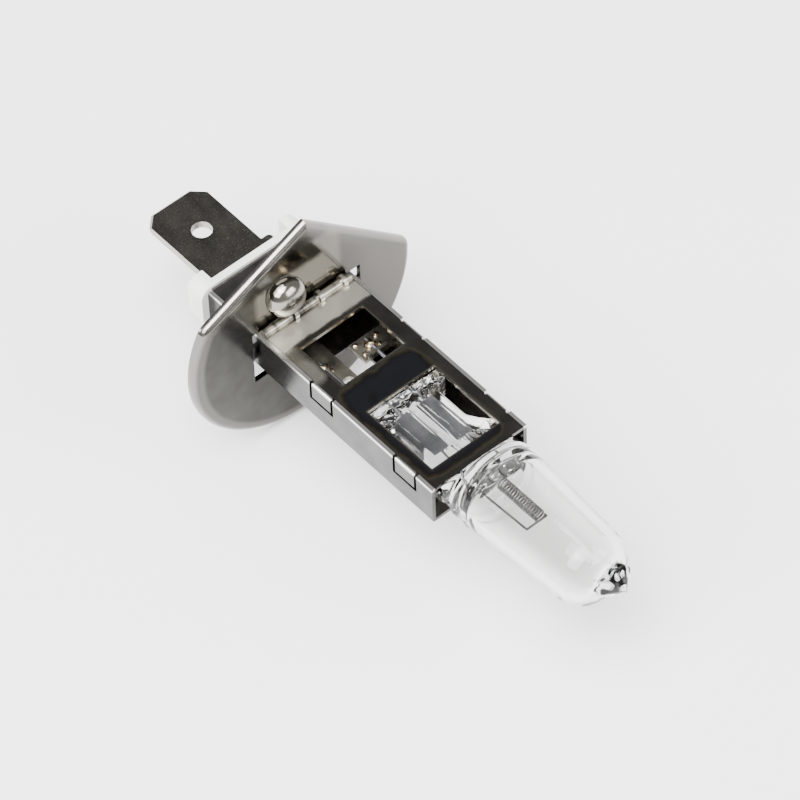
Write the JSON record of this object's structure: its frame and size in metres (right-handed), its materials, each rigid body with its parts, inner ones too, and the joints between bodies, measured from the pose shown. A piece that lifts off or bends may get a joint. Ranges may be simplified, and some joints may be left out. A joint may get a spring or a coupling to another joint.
{
  "type": "headlight bulb",
  "caption": "Halogen headlight bulb: clear quartz burner in a windowed sheet-metal holder, keyed round flange and a flat push-on terminal blade.",
  "frame": {"origin": "centre of the flange's front face, on the lamp's reference axis", "axes": "-Y along the lamp towards the glass tip, +Y towards the terminal blade, +Z out of the holder's cover plate, +X to the right seen from the tip"},
  "size_m": [0.0242, 0.0587, 0.0235],
  "materials": {
    "flange_steel": "bright rolled steel, lightly satin",
    "holder_steel": "bright rolled steel, fine grain",
    "cover_steel": "bright steel with heat tint round the front window",
    "blade_nickel": "matt nickel plate, fine grain",
    "ceramic_white": "unglazed white steatite",
    "contact_steel": "bare strip with weld stains",
    "molybdenum": "drawn grey metal",
    "tungsten": "drawn dark grey metal",
    "weld_metal": "frozen bead, tinted by heat",
    "quartz": "clear fused quartz"
  },
  "bodies": {
    "root": {"ceramic_insulator": "ceramic_white", "earth_lead": "molybdenum", "earth_tab": "contact_steel", "filament_coil": "tungsten", "flange": "flange_steel", "foil_earth": "molybdenum", "foil_live": "molybdenum", "holder_channel": "holder_steel", "holder_cover": "cover_steel", "live_lead": "molybdenum", "live_strip": "contact_steel", "lug_left": "holder_steel", "lug_right": "holder_steel", "quartz_burner": "quartz", "rear_cover": "holder_steel", "return_support": "tungsten", "short_support": "tungsten", "terminal_blade": "blade_nickel", "weld_earth": "weld_metal", "weld_live": "weld_metal"}
  },
  "joints": []
}
